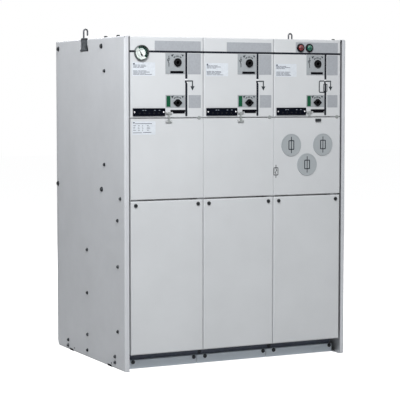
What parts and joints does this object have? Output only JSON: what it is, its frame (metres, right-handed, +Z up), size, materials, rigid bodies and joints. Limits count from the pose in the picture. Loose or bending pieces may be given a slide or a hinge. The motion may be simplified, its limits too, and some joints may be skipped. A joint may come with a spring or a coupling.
{
  "type": "ring main unit",
  "caption": "Floor-standing ring main unit: a folded-sheet cabinet with switch controls, lift-off cable covers, a gauge and lifting hooks.",
  "frame": {"origin": "middle of the footprint, on the floor", "axes": "+X right seen from the front, -Y out of the front, +Z up"},
  "size_m": [1.0354, 0.777, 1.381],
  "materials": {
    "stainless_sheet": "fine brushed stainless sheet",
    "galvanised_sheet": "light grey painted, satin",
    "grey_paint": "light grey powder coat, fine orange peel",
    "grey_plate": "mid grey, matte",
    "black_plastic": "black, moulded",
    "green_flag": "green, satin",
    "gauge_rim": "dark grey-green rim",
    "gauge_dial": "white dial",
    "clear_glass": "clear",
    "red_plastic": "red, glossy",
    "green_plastic": "green, glossy",
    "grey_metal": "grey, satin",
    "hook_steel": "dark zinc plated bar",
    "black_rubber": "black rubber"
  },
  "bodies": {
    "unit": {"gas_tank": "stainless_sheet", "base_frame": "galvanised_sheet", "front_uprights": "galvanised_sheet", "tank_carriers": "galvanised_sheet", "floor_plate": "galvanised_sheet", "plinth_fronts": "galvanised_sheet", "left_side_cover": "grey_paint", "right_side_cover": "grey_paint", "roof_cover": "grey_paint", "rear_cover": "grey_paint", "upper_cover_1": "grey_paint", "upper_cover_2": "grey_paint", "upper_cover_3": "grey_paint", "mid_cover_1": "grey_paint", "mid_cover_2": "grey_paint", "mid_cover_3": "grey_paint", "cable_cover_1": "grey_paint", "cable_cover_2": "grey_paint", "cable_cover_3": "grey_paint", "switch_plate_1": "grey_plate", "switch_plate_2": "grey_plate", "switch_plate_3": "grey_plate", "earthing_plate_1": "grey_plate", "earthing_plate_2": "grey_plate", "earthing_plate_3": "grey_plate", "lock_sliders": "black_plastic", "position_flags": "green_flag", "voltage_panels": "black_plastic", "gauge_body": "gauge_rim", "gauge_dial": "gauge_dial", "gauge_needle": "black_plastic", "gauge_glass": "clear_glass", "button_bezels": "black_plastic", "interlock_latches": "grey_metal", "cover_locks": "black_plastic", "fuse_discs": "grey_metal", "left_hook": "hook_steel", "right_hook": "hook_steel", "left_boot": "black_rubber", "right_boot": "black_rubber"},
    "switch_shaft_1": {"switch_shaft_1": "black_plastic"},
    "earthing_shaft_1": {"earthing_shaft_1": "black_plastic"},
    "switch_shaft_2": {"switch_shaft_2": "black_plastic"},
    "earthing_shaft_2": {"earthing_shaft_2": "black_plastic"},
    "switch_shaft_3": {"switch_shaft_3": "black_plastic"},
    "earthing_shaft_3": {"earthing_shaft_3": "black_plastic"},
    "red_button": {"red_button": "red_plastic"},
    "green_button": {"green_button": "green_plastic"}
  },
  "joints": [
    {"name": "switch_turn_1", "type": "hinge", "parent": "unit", "child": "switch_shaft_1", "pos_m": [-0.279, -0.3825, 1.233], "axis": [0, 1, 0], "range_deg": [-45, 45]},
    {"name": "earthing_turn_1", "type": "hinge", "parent": "unit", "child": "earthing_shaft_1", "pos_m": [-0.279, -0.3825, 1.072], "axis": [0, 1, 0], "range_deg": [-45, 45]},
    {"name": "switch_turn_2", "type": "hinge", "parent": "unit", "child": "switch_shaft_2", "pos_m": [0.046, -0.3825, 1.233], "axis": [0, 1, 0], "range_deg": [-45, 45]},
    {"name": "earthing_turn_2", "type": "hinge", "parent": "unit", "child": "earthing_shaft_2", "pos_m": [0.046, -0.3825, 1.072], "axis": [0, 1, 0], "range_deg": [-45, 45]},
    {"name": "switch_turn_3", "type": "hinge", "parent": "unit", "child": "switch_shaft_3", "pos_m": [0.371, -0.3825, 1.233], "axis": [0, 1, 0], "range_deg": [-45, 45]},
    {"name": "earthing_turn_3", "type": "hinge", "parent": "unit", "child": "earthing_shaft_3", "pos_m": [0.371, -0.3825, 1.072], "axis": [0, 1, 0], "range_deg": [-45, 45]},
    {"name": "red_push", "type": "slide", "parent": "unit", "child": "red_button", "axis": [0, 1, 0], "range_m": [0, 0.006], "stiffness_N_per_m": 400},
    {"name": "green_push", "type": "slide", "parent": "unit", "child": "green_button", "axis": [0, 1, 0], "range_m": [0, 0.006], "stiffness_N_per_m": 400}
  ]
}
